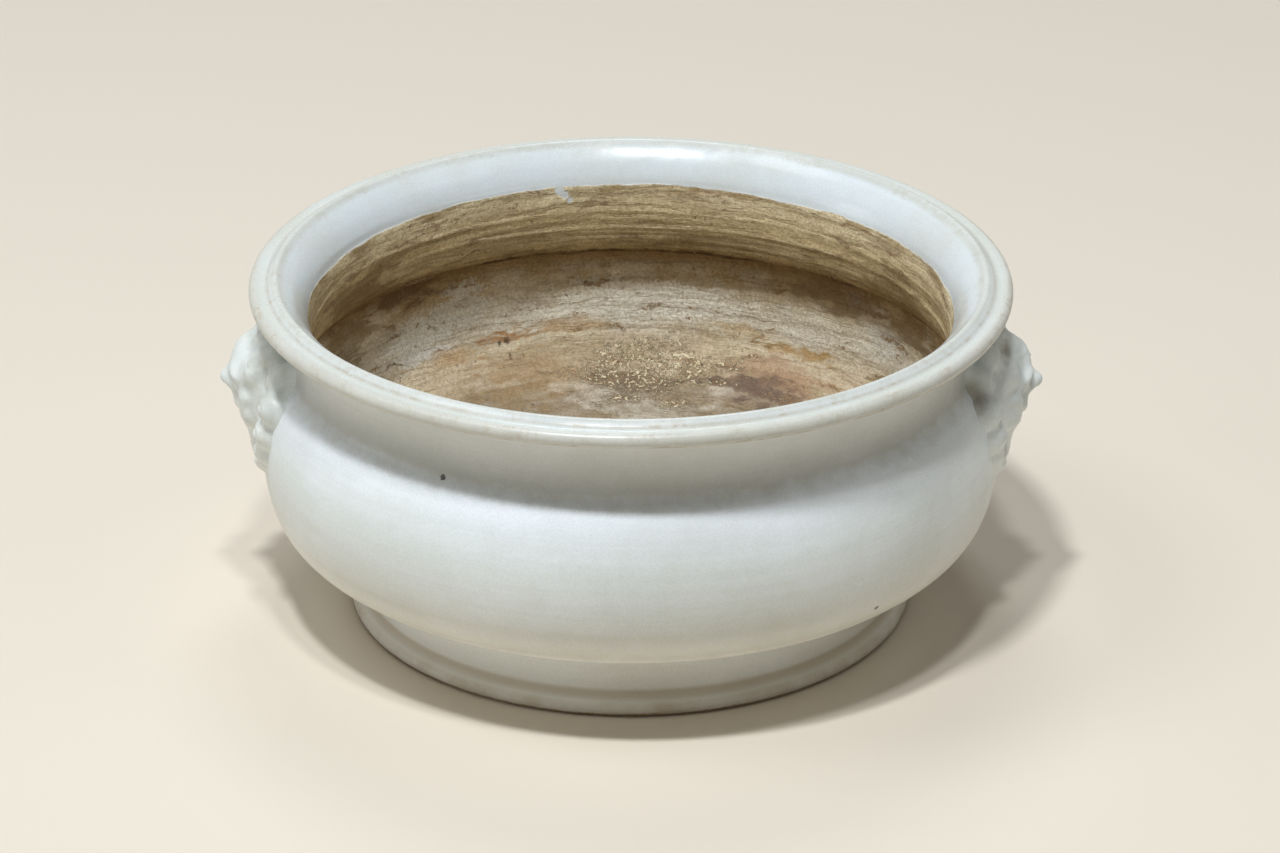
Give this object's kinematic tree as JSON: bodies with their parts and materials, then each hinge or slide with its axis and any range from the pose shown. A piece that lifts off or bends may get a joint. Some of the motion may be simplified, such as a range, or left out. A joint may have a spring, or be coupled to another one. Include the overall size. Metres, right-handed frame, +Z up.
{
  "type": "incense bowl",
  "caption": "Low round incense bowl of white glazed porcelain with a rolled lip, necked shoulder, foot ring and lion masks on both sides.",
  "frame": {"origin": "centre of the circular face that the foot ring stands on, at the bottom of the part", "axes": "+Z up along the bowl's turning axis, which is the shortest extent; +X through the two lion masks, which is the longest extent; +Y away from the viewer"},
  "size_m": [0.1736, 0.16, 0.074],
  "materials": {
    "white_glaze": "glossy bluish white glaze, aged, smoke-stained inside",
    "foot_glaze": "glossy white glaze, wiped to bare biscuit on the standing edge",
    "mask_glaze": "glossy bluish white glaze, pooled in the hollows",
    "bare_slip": "matt fired clay slip"
  },
  "bodies": {
    "root": {"bowl": "white_glaze", "foot_ring": "foot_glaze", "foot_slip": "bare_slip", "right_mask_slip": "bare_slip", "lion_mask_right": "mask_glaze", "left_mask_slip": "bare_slip", "lion_mask_left": "mask_glaze"}
  },
  "joints": []
}
